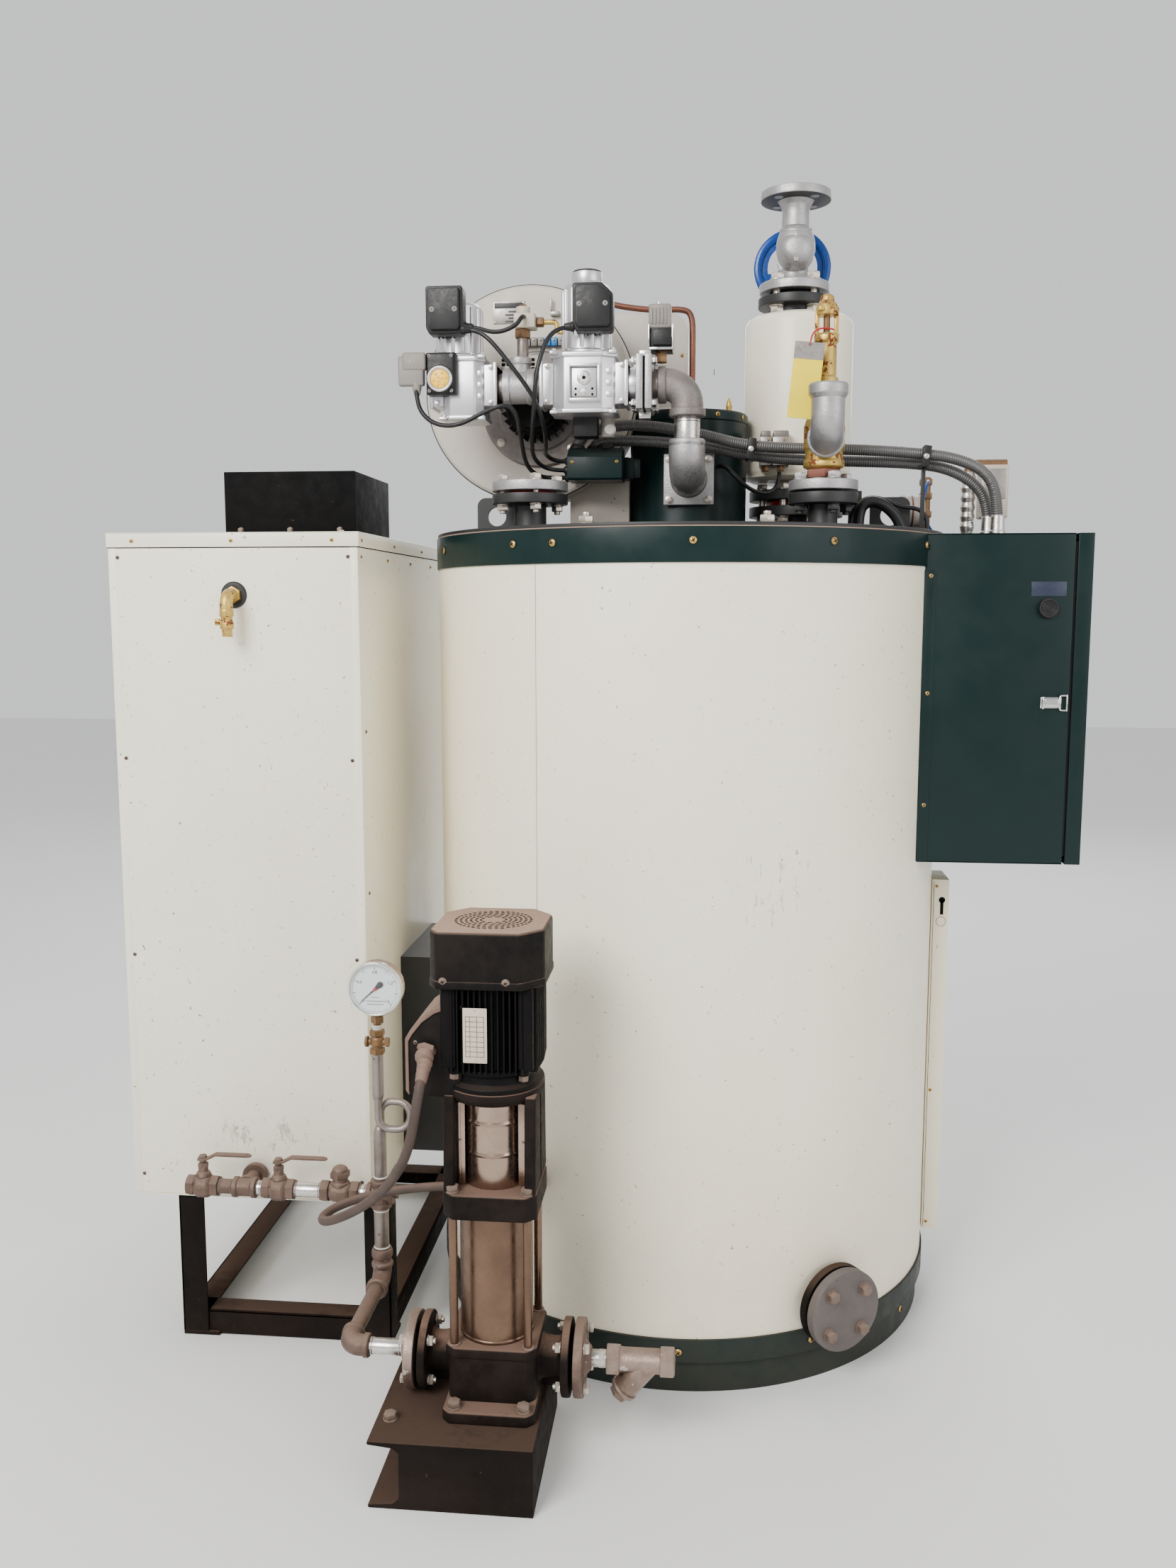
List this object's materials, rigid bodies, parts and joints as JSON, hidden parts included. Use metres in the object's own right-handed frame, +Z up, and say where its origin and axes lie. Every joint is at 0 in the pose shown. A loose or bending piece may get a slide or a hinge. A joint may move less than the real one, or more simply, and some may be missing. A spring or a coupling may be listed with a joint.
{
  "type": "gas-fired vertical steam boiler set",
  "caption": "Upright sheet-clad steam boiler with top burner and gas train, steam stop valve, control cabinet, economiser casing on a frame and a multistage feed pump.",
  "frame": {"origin": "on the floor under the middle of the boiler shell", "axes": "+X to the right of someone facing the pump and gauge, +Y away from them, +Z up"},
  "size_m": [1.782, 1.3659, 2.225],
  "materials": {
    "cream_paint": "semi-gloss baked enamel with scuffs and dust",
    "green_paint": "satin dark green enamel",
    "black_paint": "matte black primer with dust",
    "grey_paint": "warm grey enamel",
    "black_motor_paint": "satin black with dust on top faces",
    "blue_paint": "glossy blue enamel",
    "cast_aluminium": "sand-cast and machined",
    "silver_coating": "aluminium paint on castings",
    "galvanised_steel": "dusty galvanised pipe",
    "dusty_steel": "brown-grey dust over steel",
    "stainless": "brushed stainless with brown dust",
    "valve_brass": "cast brass",
    "copper": "dull copper tube",
    "black_plastic": "moulded black plastic",
    "grey_plastic": "ribbed grey conduit",
    "gauge_face": "white dial behind a clear lens"
  },
  "bodies": {
    "boiler": {"boiler_shell": "black_paint", "top_plate": "black_paint", "base_skirt": "black_paint", "jacket_front": "cream_paint", "jacket_rear": "cream_paint", "jacket_bands": "green_paint", "side_strip": "cream_paint", "blind_nozzles": "black_paint", "blind_covers": "dusty_steel", "lifting_lugs": "black_paint", "steam_separator": "cream_paint", "level_probes": "grey_plastic", "steam_valve": "silver_coating", "safety_valve": "valve_brass", "burner_barrel": "green_paint", "fan_casing": "grey_paint", "fan_motor": "black_motor_paint", "air_duct": "grey_paint", "gas_inlet_valve": "cast_aluminium", "gas_main_valve": "cast_aluminium", "gas_pipes": "silver_coating", "pressure_switch": "black_plastic", "junction_box": "green_paint", "flexible_conduits": "grey_plastic", "copper_line": "copper", "burner_leads": "black_plastic", "cabinet_box": "green_paint", "cabinet_fittings": "black_plastic", "casing_walls": "cream_paint", "casing_lid": "cream_paint", "casing_floor": "cream_paint", "flue_outlet": "black_paint", "flue_link": "black_paint", "frame_legs": "black_paint", "frame_beams": "black_paint", "vent_cock": "valve_brass", "ball_valves": "dusty_steel", "check_valve": "dusty_steel", "feed_header": "dusty_steel", "pump_discharge_pipe": "galvanised_steel", "gauge_siphon": "galvanised_steel", "pressure_gauge": "gauge_face", "pump_base": "dusty_steel", "pump_sleeve": "stainless", "motor_stool": "dusty_steel", "coupling_guard": "stainless", "pump_motor": "black_motor_paint", "fan_cowl": "black_motor_paint", "terminal_box": "dusty_steel", "suction_strainer": "galvanised_steel", "pump_pedestal": "black_paint", "pump_lead": "grey_plastic", "lead_socket": "black_plastic", "pressure_controls": "cream_paint", "roof_fittings": "silver_coating"},
    "door": {"cabinet_door": "green_paint"},
    "handwheel": {"steam_handwheel": "blue_paint"},
    "drain_handle": {"drain_lever": "dusty_steel"},
    "feed_handle": {"feed_lever": "dusty_steel"}
  },
  "joints": [
    {"name": "cabinet_door_hinge", "type": "hinge", "parent": "boiler", "child": "door", "pos_m": [0.742, 0.247, 1.235], "axis": [0, 0, 1], "range_deg": [0, 110]},
    {"name": "steam_wheel_turn", "type": "hinge", "parent": "boiler", "child": "handwheel", "pos_m": [0.208, 0.184, 2.108], "axis": [0, 1, 0], "continuous": true},
    {"name": "drain_lever_turn", "type": "hinge", "parent": "boiler", "child": "drain_handle", "pos_m": [-0.872, -0.47, 0.392], "axis": [0, 0, 1], "range_deg": [-90, 0]},
    {"name": "feed_lever_turn", "type": "hinge", "parent": "boiler", "child": "feed_handle", "pos_m": [-0.728, -0.47, 0.392], "axis": [0, 0, 1], "range_deg": [-90, 0]}
  ]
}
